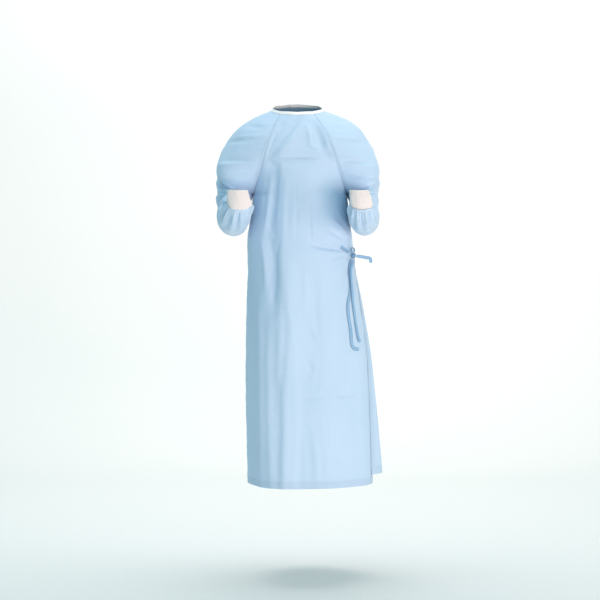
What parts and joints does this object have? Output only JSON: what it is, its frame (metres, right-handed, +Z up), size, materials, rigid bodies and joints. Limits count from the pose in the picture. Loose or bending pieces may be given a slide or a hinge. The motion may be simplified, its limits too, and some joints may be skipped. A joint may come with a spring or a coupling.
{
  "type": "surgical gown",
  "caption": "Worn wrap surgical gown with raglan sleeves, knit cuffs, bound neck and a tied waist, hollow, standing as on a wearer",
  "frame": {"origin": "middle of the neck opening at shoulder height, where the wearer's neck and shoulders hold the gown", "axes": "+Z up along the gown's length, the front faces -Y, +X is the wearer's left"},
  "size_m": [0.5234, 0.4965, 1.1958],
  "materials": {
    "cloth": "light blue nonwoven, soft matt with a slight sheen",
    "knit": "white rib knit",
    "binding": "white nonwoven binding",
    "tie": "light blue nonwoven tie"
  },
  "bodies": {
    "root": {"front_panel": "cloth", "back_panel_right": "cloth", "back_panel_left": "cloth", "sleeve_right": "cloth", "sleeve_left": "cloth", "cuff_right": "knit", "cuff_left": "knit", "neck_binding": "binding", "neck_tab": "binding", "waist_tie_knot": "tie", "waist_tie_front": "tie", "waist_tie_flap": "tie", "waist_tie_end": "tie", "waist_tie_loop": "tie", "waist_tie_tail_1": "tie", "waist_tie_tail_2": "tie"}
  },
  "joints": []
}
